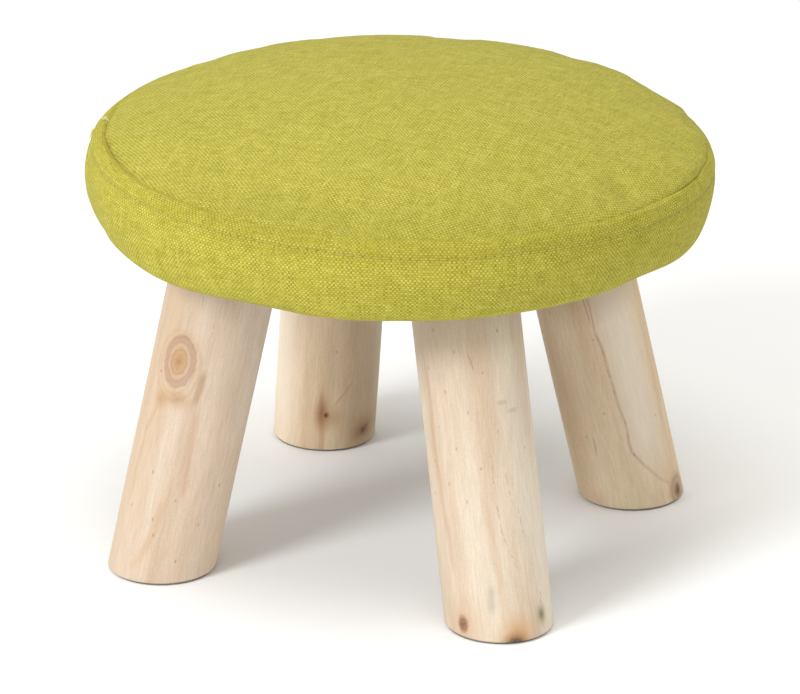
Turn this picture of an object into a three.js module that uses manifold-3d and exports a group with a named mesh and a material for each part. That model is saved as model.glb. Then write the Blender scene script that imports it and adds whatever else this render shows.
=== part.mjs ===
// A small round footstool: a padded seat in a sewn linen-look cover, on four splayed
// log legs that screw into the seat board.
// Millimetres, Z up. The origin is on the floor, under the middle of the seat.
// The front is -Y, and the legs stand on the diagonals.
import * as THREE from "three";
import { mergeVertices } from "three/addons/utils/BufferGeometryUtils.js";
import Module from "manifold-3d";

const wasm = await Module();
wasm.setup();

// Clearances
const fitGap = 0.3; // between pieces that bend round each other or pass through each other
const cutOverrun = 2; // how far a cutting shape passes the face it cuts

// Legs: logs cut level at both ends
const legHeight = 148.4;
const legDiameter = 47.4;
const legSplayRun = 36.4; // how far the foot stands out from the leg's top
const legFootEase = 0.4; // bevel round the foot
const legTopEase = 0.8; // bevel round the top

// Foot pads
const padThickness = 1;
const padInset = 0.8; // from the edge of the foot

// Seat board
const boardDiameter = 240;
const boardThickness = 15;
const boardEase = 1.2; // bevel of its edges
const boltInset = 41.4; // from the board's edge to the middle of a bolt

// Cover and padding
const fabricThickness = 1;
const sideOverhang = 20; // how far the side stands out past the board
const seamInset = 6.2; // from the widest part of the side in to the seam
const bandHeight = 38; // from the hem's lower face up to the seam
const crownHeight = 23; // from the seam up to the middle of the top
const seamAllowance = 8; // edge of the top panel, turned down inside the band
const creaseDepth = 0.5; // how far the seam is drawn in
const hemClearance = 1.2; // between the legs' tops and the step in the dust cover

// Dust cover
const dustThickness = 0.6;
const dustInset = 4; // from the board's edge

// Hanger bolts, M8, with a plain envelope for the threads
const boltDiameter = 8;
const boltDepthInLeg = 35;
const boltPointLength = 9;
const boltChamfer = 1;
const boltTopRecess = 0.8; // below the board's upper face

// T-nuts
const nutFlangeDiameter = 22;
const nutFlangeThickness = 1.5;
const nutBarrelDiameter = 10.4;
const nutBarrelLength = 10;
const prongCount = 4;
const prongWidth = 3;
const prongPointWidth = 0.8;
const prongThickness = 1;
const prongLength = 7.5;
const prongRimGap = 1; // from the flange's rim to a prong

// Staples
const stapleCrown = 9.2; // over the legs
const stapleWireWidth = 0.75;
const stapleWireThickness = 0.55;
const stapleLeg = 8;
const stapleRowCount = 8;

// How finely round shapes are cut
const seatSegments = 40;
const legSegments = 32;
const boltSegments = 16;
const bandSteps = 6;
const crownSteps = 8;
const allowanceSteps = 1;
const crowdingShare = 1.6; // over 1 crowds the crown's steps towards the seam, where it bends most

// Outline of the band's outer face, from the board's edge up to just short of the seam.
// Radius shares go from the board's edge to the widest part, height shares up to the seam.
const bandRadiusShares = [0.03, 0.22, 0.525, 0.75, 0.925, 1, 0.93, 0.8];
const bandHeightShares = [0, 0.014, 0.072, 0.152, 0.363, 0.597, 0.832, 0.937];

// The crown follows height = (1 - radius ** flatness) ** shoulder, both as shares of their full sizes.
const flatnessShare = 2.1;
const shoulderShare = 0.8;

// Each leg: its diagonal, and how far it stopped past it when it was screwed tight
const legPlaces = [
  { place: "front_left", diagonal: 225, turn: 10.4 },
  { place: "front_right", diagonal: 315, turn: 8.7 },
  { place: "back_right", diagonal: 45, turn: 3.1 },
  { place: "back_left", diagonal: 135, turn: -8.4 },
];

// Heights
const legTopZ = padThickness + legHeight;
const boardBottomZ = legTopZ + dustThickness;
const boardTopZ = boardBottomZ + boardThickness;
const hemZ = boardBottomZ - fabricThickness;
const seamZ = hemZ + bandHeight;
const dustRimZ = hemZ - dustThickness;
const boltBottomZ = legTopZ - boltDepthInLeg;
const boltTopZ = boardTopZ - boltTopRecess;
const prongPointZ = boardTopZ - nutFlangeThickness - prongLength;

// Radii
const legRadius = legDiameter / 2;
const legStretch = Math.hypot(legHeight, legSplayRun) / legHeight; // of a level cut through a leaning log
const boardRadius = boardDiameter / 2;
const seatRadius = boardRadius + sideOverhang;
const seamRadius = seatRadius - seamInset;
const boltCircleRadius = boardRadius - boltInset;
const dustStepRadius = boltCircleRadius + legRadius * legStretch + hemClearance;
const hemInnerRadius = dustStepRadius + fabricThickness + fitGap;
const dustRadius = boardRadius - dustInset;
const stapleRowRadius = (hemInnerRadius + dustRadius) / 2;
const boltRadius = boltDiameter / 2;
const boltHoleRadius = boltRadius + fitGap;
const nutBarrelRadius = nutBarrelDiameter / 2;
const nutFlangeRadius = nutFlangeDiameter / 2;
const prongRadius = nutFlangeRadius - prongRimGap - prongThickness / 2;

const linen = { color: 0xb9b03f, roughness: 0.92, metalness: 0 };
const pine = { color: 0xdfc7a3, roughness: 0.62, metalness: 0 };
const plywood = { color: 0xc8a676, roughness: 0.7, metalness: 0 };
const foam = { color: 0xece4c4, roughness: 0.95, metalness: 0 };
const nonWoven = { color: 0x262626, roughness: 0.95, metalness: 0 };
const zincSteel = { color: 0xb9bdc2, roughness: 0.35, metalness: 1 };
const rubber = { color: 0x3a3a3a, roughness: 0.85, metalness: 0 };

const stool = new THREE.Group();

function addPiece(parent, name, geometry, finish) {
  const mesh = new THREE.Mesh(geometry, new THREE.MeshStandardMaterial(finish));
  mesh.name = name;
  parent.add(mesh);
}

function radians(degrees) {
  return THREE.MathUtils.degToRad(degrees);
}

// Solids for joining and cutting

function solidOf(geometry) {
  const bare = geometry.clone();
  bare.deleteAttribute("normal");
  bare.deleteAttribute("uv");
  const merged = mergeVertices(bare);
  return new wasm.Manifold(
    new wasm.Mesh({
      numProp: 3,
      vertProperties: merged.attributes.position.array,
      triVerts: new Uint32Array(merged.index.array),
    }),
  );
}

function geometryOf(solid) {
  const mesh = solid.getMesh();
  const geometry = new THREE.BufferGeometry();
  geometry.setAttribute("position", new THREE.BufferAttribute(mesh.vertProperties, 3));
  geometry.setIndex(new THREE.BufferAttribute(mesh.triVerts, 1));
  geometry.computeVertexNormals();
  return geometry;
}

function cutAway(geometry, cutters) {
  return geometryOf(
    cutters.reduce((rest, cutter) => rest.subtract(solidOf(cutter)), solidOf(geometry)),
  );
}

function join(geometry, others) {
  return geometryOf(
    others.reduce((whole, other) => whole.add(solidOf(other)), solidOf(geometry)),
  );
}

// Shapes

// A profile of [radius, height] pairs, running up its outer side, turned round the Z axis.
function turned(profile, segments) {
  const points = profile.map(([radius, height]) => new THREE.Vector2(radius, height));
  return new THREE.LatheGeometry(points, segments).rotateX(Math.PI / 2);
}

function closed(profile) {
  return [...profile, profile[0]];
}

function uprightCylinder(radius, bottom, top) {
  const height = top - bottom;
  return new THREE.CylinderGeometry(radius, radius, height, boltSegments)
    .rotateX(Math.PI / 2)
    .translate(0, 0, bottom + height / 2);
}

function block(width, depth, bottom, top) {
  const height = top - bottom;
  return new THREE.BoxGeometry(width, depth, height).translate(0, 0, bottom + height / 2);
}

// Moves a shape made on the Z axis out to a radius, then round by an angle.
function swungOut(geometry, radius, angle) {
  return geometry.translate(radius, 0, 0).rotateZ(angle);
}

// The cutters that a function makes round the Z axis, at each leg's bolt.
function atBolts(makeCutters) {
  return legPlaces.flatMap(({ diagonal }) =>
    makeCutters().map((cutter) => swungOut(cutter, boltCircleRadius, radians(diagonal))),
  );
}

// The seat's outer face, as two curves of [radius, height] that meet in the crease of the seam

const seamPoint = new THREE.Vector2(seamRadius - creaseDepth, seamZ - creaseDepth);

function makeBandCurve() {
  const points = bandRadiusShares.map((share, i) => {
    const height = bandHeightShares[i] * bandHeight;
    return new THREE.Vector2(boardRadius + share * sideOverhang, hemZ + height);
  });
  return new THREE.SplineCurve([...points, seamPoint]);
}

function makeCrownCurve() {
  const points = [seamPoint];
  for (let i = 1; i <= crownSteps; i++) {
    const radiusShare = i < crownSteps ? Math.cos((i / crownSteps) * (Math.PI / 2)) : 0;
    const heightShare = (1 - radiusShare ** flatnessShare) ** shoulderShare;
    points.push(new THREE.Vector2(seamRadius * radiusShare, seamZ + crownHeight * heightShare));
  }
  return new THREE.SplineCurve(points);
}

const bandCurve = makeBandCurve();
const crownCurve = makeCrownCurve();
const bandLength = bandCurve.getLength();
const crownLength = crownCurve.getLength();
const allowanceStart = bandLength - seamAllowance;

// Lengths along the curves. All layers of the seat have their points at these same stations,
// so that two layers a small gap apart don't cut across each other's bends.
function spaced(from, to, steps, crowding) {
  return Array.from({ length: steps + 1 }, (_, i) => from + (to - from) * (i / steps) ** crowding);
}

const bandStations = spaced(0, allowanceStart, bandSteps, 1);
const allowanceStations = spaced(allowanceStart, bandLength, allowanceSteps, 1);
const crownStations = spaced(0, crownLength, crownSteps, crowdingShare);

// The points of a curve at some stations, moved in by a depth, square to the curve.
function layer(curve, depth, stations) {
  const whole = curve.getLength();
  return stations.map((station) => {
    const point = curve.getPointAt(station / whole);
    const along = curve.getTangentAt(station / whole);
    const onAxis = curve === crownCurve && station === crownLength;
    return onAxis ? [0, point.y - depth] : [point.x - along.y * depth, point.y + along.x * depth];
  });
}

// Staples

// Two rows at one radius: the dust cover's staples stand half a step on from the hem's.
const hemRow = { name: "hem_staple", startShare: 0.25, crownZ: hemZ };
const dustRow = { name: "dust_staple", startShare: 0.75, crownZ: dustRimZ - stapleWireThickness };

function stapleAngle(row, index) {
  return ((index + row.startShare) / stapleRowCount) * 2 * Math.PI;
}

// One staple of flat wire, with its crown below and its legs up, square to the radius.
function makeStaple(crownZ) {
  const outer = stapleCrown / 2;
  const inner = outer - stapleWireWidth;
  const topZ = crownZ + stapleLeg;
  const crownTopZ = crownZ + stapleWireThickness;
  const outline = new THREE.Shape()
    .moveTo(-outer, crownZ)
    .lineTo(outer, crownZ)
    .lineTo(outer, topZ)
    .lineTo(inner, topZ)
    .lineTo(inner, crownTopZ)
    .lineTo(-inner, crownTopZ)
    .lineTo(-inner, topZ)
    .lineTo(-outer, topZ)
    .closePath();
  return new THREE.ExtrudeGeometry(outline, { depth: stapleWireWidth, bevelEnabled: false })
    .translate(0, 0, -stapleWireWidth / 2)
    .rotateX(Math.PI / 2)
    .rotateZ(Math.PI / 2);
}

// The holes that a row's legs need, from a height up to just past their points.
function stapleHoles(row, fromZ) {
  const width = stapleWireWidth + 2 * fitGap;
  const legPlace = (stapleCrown - stapleWireWidth) / 2;
  const holes = [];
  for (let i = 0; i < stapleRowCount; i++)
    for (const side of [-legPlace, legPlace]) {
      const hole = block(width, width, fromZ, row.crownZ + stapleLeg + fitGap).translate(0, side, 0);
      holes.push(swungOut(hole, stapleRowRadius, stapleAngle(row, i)));
    }
  return holes;
}

// The crowns of the hem's staples press into the cloth, flush with its lower face.
function hemCrownPockets() {
  const pockets = [];
  for (let i = 0; i < stapleRowCount; i++) {
    const pocket = block(
      stapleWireWidth + 2 * fitGap,
      stapleCrown + 2 * fitGap,
      hemZ - cutOverrun,
      hemZ + stapleWireThickness,
    );
    pockets.push(swungOut(pocket, stapleRowRadius, stapleAngle(hemRow, i)));
  }
  return pockets;
}

function addStaples(row) {
  for (let i = 0; i < stapleRowCount; i++) {
    const name = row.name + "_" + String(i + 1).padStart(2, "0");
    addPiece(stool, name, swungOut(makeStaple(row.crownZ), stapleRowRadius, stapleAngle(row, i)), zincSteel);
  }
}

// Seat board, with its bores, T-nut seats and staple holes

function prongSlots() {
  const slots = [];
  for (let i = 0; i < prongCount; i++) {
    const slot = block(
      prongThickness + 2 * fitGap,
      prongWidth + 2 * fitGap,
      prongPointZ - fitGap,
      boardTopZ + cutOverrun,
    );
    slots.push(swungOut(slot, prongRadius, (i / prongCount) * 2 * Math.PI));
  }
  return slots;
}

function makeBoard() {
  const profile = [
    [0, boardBottomZ],
    [boardRadius - boardEase, boardBottomZ],
    [boardRadius, boardBottomZ + boardEase],
    [boardRadius, boardTopZ - boardEase],
    [boardRadius - boardEase, boardTopZ],
    [0, boardTopZ],
  ];
  const below = boardBottomZ - cutOverrun;
  const above = boardTopZ + cutOverrun;
  const seatZ = boardTopZ - nutFlangeThickness;
  return cutAway(turned(profile, seatSegments), [
    ...atBolts(() => [
      uprightCylinder(nutBarrelRadius + fitGap, below, above),
      uprightCylinder(nutFlangeRadius + fitGap, seatZ, above),
      ...prongSlots(),
    ]),
    ...stapleHoles(hemRow, below),
    ...stapleHoles(dustRow, below),
  ]);
}

// Foam, hollow below so that its skirt wraps the board's edge

function makeFoam() {
  const coverDepth = fabricThickness + fitGap;
  const innerRadius = boardRadius + fitGap;
  const stepStation = allowanceStart - fitGap;
  const side = layer(bandCurve, coverDepth, [...bandStations.slice(1, -1), stepStation]);
  const behindAllowance = layer(bandCurve, 2 * coverDepth, [stepStation, ...allowanceStations]);
  const crown = layer(crownCurve, coverDepth, [2 * coverDepth, ...crownStations.slice(1)]);
  const skirtZ = side[0][1];
  const inside = [
    [0, boardTopZ],
    [innerRadius, boardTopZ],
    [innerRadius, skirtZ],
  ];
  return turned([...inside, ...side, ...behindAllowance, ...crown], seatSegments);
}

// Cover: the top panel, whose edge turns down inside the band

function makeTopPanel() {
  const allowanceDepth = fabricThickness + fitGap;
  const allowanceBack = allowanceDepth + fabricThickness;
  const along = bandCurve.getTangentAt(1);
  // The fold passes the band's end at the same gap that it keeps behind the band.
  const fold = [
    seamPoint.x + along.x * fitGap - along.y * allowanceDepth,
    seamPoint.y + along.y * fitGap + along.x * allowanceDepth,
  ];
  const profile = [
    ...layer(crownCurve, fabricThickness, [allowanceBack, ...crownStations.slice(1)]).reverse(),
    ...layer(bandCurve, allowanceBack, allowanceStations).reverse(),
    ...layer(bandCurve, allowanceDepth, allowanceStations),
    fold,
    ...layer(crownCurve, 0, [2 * fitGap, ...crownStations.slice(1)]),
  ];
  return turned(profile, seatSegments);
}

// Cover: the band, drawn down the side, round the board's edge and in under it as a hem

function makeSideBand() {
  const stations = [...bandStations, ...allowanceStations.slice(1)];
  const profile = closed([
    [hemInnerRadius, hemZ],
    ...layer(bandCurve, 0, stations),
    ...layer(bandCurve, fabricThickness, stations).reverse(),
    [boardRadius, boardBottomZ],
    [hemInnerRadius, boardBottomZ],
  ]);
  const below = hemZ - cutOverrun;
  return cutAway(turned(profile, seatSegments), [
    ...hemCrownPockets(),
    ...stapleHoles(hemRow, below),
    ...stapleHoles(dustRow, below),
  ]);
}

// Dust cover, which steps down over the hem

function makeDustCover() {
  const rimRadius = dustStepRadius + fabricThickness;
  const profile = [
    [0, legTopZ],
    [dustStepRadius, legTopZ],
    [rimRadius, dustRimZ],
    [dustRadius, dustRimZ],
    [dustRadius, hemZ],
    [rimRadius, hemZ],
    [dustStepRadius, boardBottomZ],
    [0, boardBottomZ],
  ];
  const above = boardBottomZ + cutOverrun;
  return cutAway(turned(profile, seatSegments), [
    ...atBolts(() => [uprightCylinder(boltHoleRadius, legTopZ - cutOverrun, above)]),
    ...stapleHoles(dustRow, dustRimZ - cutOverrun),
  ]);
}

// T-nut: a flanged barrel with prongs, its flange flush with the board's upper face

function makeTNut() {
  const flangeBottomZ = boardTopZ - nutFlangeThickness;
  const barrelBottomZ = boardTopZ - nutBarrelLength;
  const profile = closed([
    [boltHoleRadius, barrelBottomZ],
    [nutBarrelRadius, barrelBottomZ],
    [nutBarrelRadius, flangeBottomZ],
    [nutFlangeRadius, flangeBottomZ],
    [nutFlangeRadius, boardTopZ],
    [boltHoleRadius, boardTopZ],
  ]);
  const rootZ = boardTopZ - nutFlangeThickness / 2;
  const outline = new THREE.Shape()
    .moveTo(-prongPointWidth / 2, prongPointZ)
    .lineTo(prongPointWidth / 2, prongPointZ)
    .lineTo(prongWidth / 2, rootZ)
    .lineTo(-prongWidth / 2, rootZ)
    .closePath();
  const prongs = Array.from({ length: prongCount }, (_, i) => {
    const prong = new THREE.ExtrudeGeometry(outline, { depth: prongThickness, bevelEnabled: false })
      .translate(0, 0, -prongThickness / 2)
      .rotateX(Math.PI / 2)
      .rotateZ(Math.PI / 2);
    return swungOut(prong, prongRadius, (i / prongCount) * 2 * Math.PI);
  });
  return join(turned(profile, boltSegments), prongs);
}

// Hanger bolt: wood screw below, machine screw above

function makeHangerBolt() {
  const profile = [
    [0, boltBottomZ],
    [boltRadius, boltBottomZ + boltPointLength],
    [boltRadius, boltTopZ - boltChamfer],
    [boltRadius - boltChamfer, boltTopZ],
    [0, boltTopZ],
  ];
  return turned(profile, boltSegments);
}

// Leg: a log that leans out along +X from its upright bolt, cut level at both ends

function makeLeg() {
  const profile = [
    [0, padThickness],
    [legRadius - legFootEase, padThickness],
    [legRadius, padThickness + legFootEase],
    [legRadius, legTopZ - legTopEase],
    [legRadius - legTopEase, legTopZ],
    [0, legTopZ],
  ];
  const runPerHeight = legSplayRun / legHeight;
  const lean = new THREE.Matrix4().set(
    legStretch, 0, -runPerHeight, legTopZ * runPerHeight,
    0, 1, 0, 0,
    0, 0, 1, 0,
    0, 0, 0, 1,
  );
  const log = turned(profile, legSegments).applyMatrix4(lean);
  return cutAway(log, [
    uprightCylinder(boltHoleRadius, boltBottomZ - fitGap, legTopZ + cutOverrun),
  ]);
}

function makeFootPad() {
  const profile = [
    [0, 0],
    [legRadius - padInset, 0],
    [legRadius - padInset, padThickness],
    [0, padThickness],
  ];
  return turned(profile, legSegments);
}

// Each leg's group turns round its bolt, and holds the leg and its pad.
function addLeg({ place, diagonal, turn }) {
  const corner = new THREE.Group();
  corner.rotation.z = radians(diagonal);
  const bolted = new THREE.Group();
  bolted.position.x = boltCircleRadius;
  addPiece(bolted, "t_nut_" + place, makeTNut(), zincSteel);
  addPiece(bolted, "hanger_bolt_" + place, makeHangerBolt(), zincSteel);
  const leaning = new THREE.Group();
  leaning.rotation.z = radians(turn);
  addPiece(leaning, "leg_" + place, makeLeg(), pine);
  const foot = new THREE.Group();
  foot.position.x = legSplayRun;
  addPiece(foot, "foot_pad_" + place, makeFootPad(), rubber);
  leaning.add(foot);
  bolted.add(leaning);
  corner.add(bolted);
  stool.add(corner);
}

addPiece(stool, "seat_board", makeBoard(), plywood);
addPiece(stool, "foam_pad", makeFoam(), foam);
addPiece(stool, "cover_top_panel", makeTopPanel(), linen);
addPiece(stool, "cover_side_band", makeSideBand(), linen);
addPiece(stool, "dust_cover", makeDustCover(), nonWoven);
addStaples(hemRow);
addStaples(dustRow);
legPlaces.forEach(addLeg);

export default stool;
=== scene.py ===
# A small round footstool: a padded seat in a lime linen-look cover, on four peeled pine logs.
# Metres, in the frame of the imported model: Z up, the floor at zero, the front at -Y.
import bisect
import functools
import math
import random

import bpy
from mathutils import Matrix, Vector, noise
from mathutils.bvhtree import BVHTree


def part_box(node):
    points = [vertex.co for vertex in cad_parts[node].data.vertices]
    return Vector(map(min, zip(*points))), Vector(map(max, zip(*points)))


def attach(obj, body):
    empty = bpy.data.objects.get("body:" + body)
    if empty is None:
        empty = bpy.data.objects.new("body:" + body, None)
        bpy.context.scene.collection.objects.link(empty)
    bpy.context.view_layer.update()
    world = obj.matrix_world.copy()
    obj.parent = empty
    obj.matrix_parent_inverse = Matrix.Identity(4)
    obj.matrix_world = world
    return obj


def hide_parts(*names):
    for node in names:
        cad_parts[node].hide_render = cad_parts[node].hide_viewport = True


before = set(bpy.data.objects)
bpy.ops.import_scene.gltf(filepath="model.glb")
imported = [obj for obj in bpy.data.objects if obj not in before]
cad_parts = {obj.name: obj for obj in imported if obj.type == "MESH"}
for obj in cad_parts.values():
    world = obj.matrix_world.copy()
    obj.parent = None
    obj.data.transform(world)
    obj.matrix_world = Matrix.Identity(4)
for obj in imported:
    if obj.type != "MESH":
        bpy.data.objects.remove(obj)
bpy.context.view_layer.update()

MM = 0.001
BODY = "root"
CLOTH_MAP = "cloth"
LOG_MAP = "log_place"
PLACES = ("front_left", "front_right", "back_right", "back_left")

# Camera, at the photograph's angle: far off, with a long lens
CAMERA_AZIMUTH = 24.71
CAMERA_ELEVATION = 21.79
CAMERA_ROLL = 0.45
CAMERA_DISTANCE = 2.809
CAMERA_AIM = Vector((0, 0, 0.09))
CAMERA_LENS = 282.1
CAMERA_SHIFT_ACROSS = 0.00144
CAMERA_SHIFT_UP = -0.00718

# Sizes from the frame
board_low, board_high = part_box("seat_board")
band_low, band_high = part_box("cover_side_band")
dust_low, dust_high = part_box("dust_cover")
board_radius = board_high.x
seat_radius = band_high.x
top_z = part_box("cover_top_panel")[1].z
hem_z = band_low.z
dust_radius = dust_high.x

# Cover
PANEL_THICKNESS = 0.7 * MM
BAND_THICKNESS = 0.9 * MM
BAND_HEIGHT = 38 * MM  # from the hem up to the seam, where the cover sits level
SEAM_INSET = 6.2 * MM  # from the widest part of the side
HEM_WIDTH = 14.5 * MM  # what lies flat under the board
SEAM_ALLOWANCE = 8 * MM
ASKEW = 5.8 * MM  # how far the seam has slipped down the shoulder on one side
ASKEW_TOWARDS = 72  # degrees round from +X
STITCH_DROP = 9.2 * MM  # from the seam down to the topstitching
STITCH_DIP = 1.3 * MM  # how much lower the topstitching runs at the front
STITCH_DIP_ROUND = 297
STITCH_MAP = "from_stitches"
# Painted shade along the front edge of the cover, kept for the material to read.
PAINTED_FRONT_SHADE_MAP = "painted_front_shade"
JOINT_ROUND = 198.2  # degrees round from +X, where the band's two ends are sewn together
SHALLOW_ROUND = 295  # degrees round from +X, where the seam is pulled in least
CROWN_FULLNESS = (2.1, 0.8)  # powers of the top's curve: how flat its middle is, and how round its shoulder
FLAT_MIDDLE = 15 * MM  # of the top, where the foam's unevenness doesn't show
UNEVEN_FROM = 60 * MM  # from the middle outwards it shows fully
PLEATS_ROUND = 46
STITCH_COUNT = 214
THREAD_DIAMETER = 0.55 * MM
SEAT_SIDES = 336
PANEL_RINGS = 60
BAND_RINGS = 76
YARNS_ROUND = 936  # upright yarns round the band
YARN_PITCH_UP = 1.04 * MM
GRAIN_TURN = 5  # degrees, of the top panel's yarns from the X axis
# The top and the side are one cloth. Their tints are painted light and painted shade: a less yellow top where
# the light falls, and a deeper yellow side in shade.
TOP_PAINTED_LIGHT_TINT = (0.985, 0.985, 1.0)
BAND_PAINTED_SHADE_TINT = (0.99, 0.98, 0.87)  # the side shows a deeper yellow than the top
HAIR_DIAMETER = 0.17 * MM
HAIR_STEPS = 4

# Foam
FOAM_SIDES = 96
FOAM_RINGS = 46
FOAM_SHARE = 0.985  # of the cover's outline, so that the foam starts inside it
FOAM_LOWER = 1.5 * MM  # on top, below the cover's outline
FOAM_MESH = 5 * MM
SETTLE_STEPS = 20
SETTLE_LIMIT = 4 * MM  # how far a point may move as the foam settles
UNDER_COVER = 1.6 * MM  # from the cover's outer face in to the foam
UNDER_TUCK = 2.2 * MM  # further in, where the top panel's edge is turned down
RELIEF_COLUMNS = 96
RELIEF_ROWS = 40
RELIEF_LIMIT = 1.6 * MM
PROBE_START = 15 * MM  # outside the outline, where the settled form is measured from
PROBE_LENGTH = 40 * MM

# Legs
LOG_DIAMETER = 47.4 * MM
LOG_SIDES = 120
LOG_RINGS = 64
LOG_EASE = 0.7 * MM
LOG_UNEVEN = 0.3 * MM
BOLT_HOLE_RADIUS = 4.1 * MM
BOLT_HOLE_CLEAR = 0.4 * MM  # below the bolt's end

# Underside cloth
UNDERSIDE_SIDES = 240
UNDERSIDE_RINGS = 72
UNDERSIDE_THICKNESS = 0.5 * MM
RIM_STARTS = 12 * MM  # in from the edge, where the cloth steps down on to the cover's hem
RIM_LEVEL = 10 * MM
PUCKERS_ROUND = 96
PUCKER_DEPTH = 0.22  # mm
STAPLES_ROUND = 8
FIRST_DUST_STAPLE = 33.75  # degrees round from +X

seam_radius = seat_radius - SEAM_INSET
seam_z = hem_z + BAND_HEIGHT
stitch_length = 2 * math.pi * seat_radius / STITCH_COUNT
yarn_pitch_round = 2 * math.pi * seat_radius / YARNS_ROUND
bolt_boxes = {place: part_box("hanger_bolt_" + place) for place in PLACES}
bolt_spots = [(low + high) / 2 for low, high in bolt_boxes.values()]


# Small helpers

def deselect_all():
    if bpy.context.object and bpy.context.object.mode != "OBJECT":
        bpy.ops.object.mode_set(mode="OBJECT")
    bpy.ops.object.select_all(action="DESELECT")


def select_only(piece):
    deselect_all()
    piece.select_set(True)
    bpy.context.view_layer.objects.active = piece


def settle(piece, name):
    """Puts the piece's place into its mesh, so that its object sits at the origin."""
    select_only(piece)
    bpy.ops.object.transform_apply(location=True, rotation=True, scale=True)
    piece.name = name
    piece.data.name = name
    return piece


def apply_modifier(piece, kind, **settings):
    select_only(piece)
    modifier = piece.modifiers.new(kind.title(), kind)
    for key, value in settings.items():
        setattr(modifier, key, value)
    bpy.ops.object.modifier_apply(modifier=modifier.name)


def edit(piece):
    select_only(piece)
    bpy.ops.object.mode_set(mode="EDIT")
    bpy.ops.mesh.select_mode(type="VERT")
    bpy.ops.mesh.select_all(action="SELECT")


def face_outwards(piece):
    edit(piece)
    bpy.ops.mesh.remove_doubles(threshold=0.01 * MM)
    bpy.ops.mesh.normals_make_consistent(inside=False)
    bpy.ops.object.mode_set(mode="OBJECT")


def smooth_faces(piece, degrees=None):
    select_only(piece)
    if degrees is None:
        bpy.ops.object.shade_smooth()
    else:
        bpy.ops.object.shade_smooth_by_angle(angle=math.radians(degrees))


def clamp(value, low, high):
    return max(low, min(high, value))


def ease(value, start, end):
    """0 before start, 1 after end, and a smooth rise between them."""
    share = clamp((value - start) / (end - start), 0, 1)
    return share * share * (3 - 2 * share)


def turn_between(a, b):
    """The angle from b to a, in radians, from -pi to pi."""
    return (a - b + math.pi) % (2 * math.pi) - math.pi


def through(points, steps):
    """A smooth run through the points, with so many steps between each two."""
    run = []
    for i in range(len(points) - 1):
        before = points[max(i - 1, 0)]
        start, end = points[i], points[i + 1]
        after = points[min(i + 2, len(points) - 1)]
        for k in range(steps):
            t = k / steps
            run.append(
                0.5 * (2 * start + (end - before) * t
                       + (2 * before - 5 * start + 4 * end - after) * t ** 2
                       + (3 * start - before - 3 * end + after) * t ** 3)
            )
    run.append(points[-1])
    return run


def extrude_rings(name, rings, sides):
    """An open tube: a circle extruded ring by ring. Each ring is (radius, height, x, y)."""
    deselect_all()
    radius, height, x, y = rings[0]
    bpy.ops.mesh.primitive_circle_add(vertices=sides, radius=radius, location=(x, y, height))
    piece = bpy.context.object
    edit(piece)
    for ring in rings[1:]:
        bpy.ops.mesh.extrude_region_move(
            TRANSFORM_OT_translate={"value": (ring[2] - x, ring[3] - y, ring[1] - height)}
        )
        if ring[0] != radius:
            share = ring[0] / radius
            bpy.ops.transform.resize(value=(share, share, 1))
        radius, height, x, y = ring
    bpy.ops.object.mode_set(mode="OBJECT")
    return settle(piece, name)


def close_ring(piece, first, sides):
    """Fills the ring of vertices that starts at that index, as a fan round its middle."""
    select_only(piece)
    for part in (piece.data.vertices, piece.data.edges, piece.data.polygons):
        part.foreach_set("select", [False] * len(part))
    for index in range(first, first + sides):
        piece.data.vertices[index].select = True
    bpy.ops.object.mode_set(mode="EDIT")
    bpy.ops.mesh.select_mode(type="VERT")
    bpy.ops.mesh.edge_face_add()
    bpy.ops.mesh.poke()
    bpy.ops.object.mode_set(mode="OBJECT")


def cut_round(piece, sides, radius, depth, middle):
    """Cuts an upright cylinder out of the piece."""
    deselect_all()
    bpy.ops.mesh.primitive_cylinder_add(vertices=sides, radius=radius, depth=depth, location=middle)
    cutter = bpy.context.object
    apply_modifier(piece, "BOOLEAN", operation="DIFFERENCE", object=cutter, solver="EXACT")
    bpy.data.objects.remove(cutter)


def finish_piece(piece, material, slot, *nodes):
    """Gives a piece its material and its place in the frame."""
    piece.data.materials.clear()
    piece.data.materials.append(material)
    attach(piece, BODY)
    if nodes:
        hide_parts(*nodes)


# Materials

NOISE_SPAN = (0.3, 0.7)  # nearly all of a noise pattern lies between these values
GROWTH_RING = 3.4  # mm from one late wood line of the pine to the next
PLY_COUNT = 9


def hex_colour(code):
    """An sRGB hex value as the linear colour that Blender works in."""
    channels = [int(code[i:i + 2], 16) / 255 for i in (0, 2, 4)]
    linear = [c / 12.92 if c <= 0.04045 else ((c + 0.055) / 1.055) ** 2.4 for c in channels]
    return (*linear, 1)


def lead(tree, value, socket):
    """Gives an input a constant, or links it to an output or to a node's first shown output."""
    if isinstance(value, bpy.types.Node):
        value = next(s for s in value.outputs if s.enabled)
    if isinstance(value, bpy.types.NodeSocket):
        tree.links.new(value, socket)
    else:
        socket.default_value = value


def add_node(tree, kind, *inputs, **named):
    """Adds a node. Inputs come in order or by name, with a capital; settings by name, in small letters."""
    made = tree.nodes.new("ShaderNode" + kind)
    for name, value in named.items():
        if name.islower():
            setattr(made, name, value)
    for socket, value in zip(made.inputs, inputs):
        lead(tree, value, socket)
    for name, value in named.items():
        if not name.islower():
            lead(tree, value, next(s for s in made.inputs if s.enabled and s.name == name))
    return made


def every(*sizes):
    """The scale that draws a pattern's feature every so many mm: one size for all directions, or three."""
    scales = tuple(1 / (size * MM) for size in sizes)
    return scales if len(scales) > 1 else scales[0]


def set_stops(ramp, *stops):
    """Gives a colour ramp its stops, each (position, hex colour) or (position, hex colour, alpha)."""
    elements = ramp.color_ramp.elements
    while len(elements) < len(stops):
        elements.new(0.5)
    for element, stop in zip(elements, stops):
        element.position = stop[0]
        element.color = (*hex_colour(stop[1])[:3], stop[2] if len(stop) > 2 else 1)
    return ramp


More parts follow.
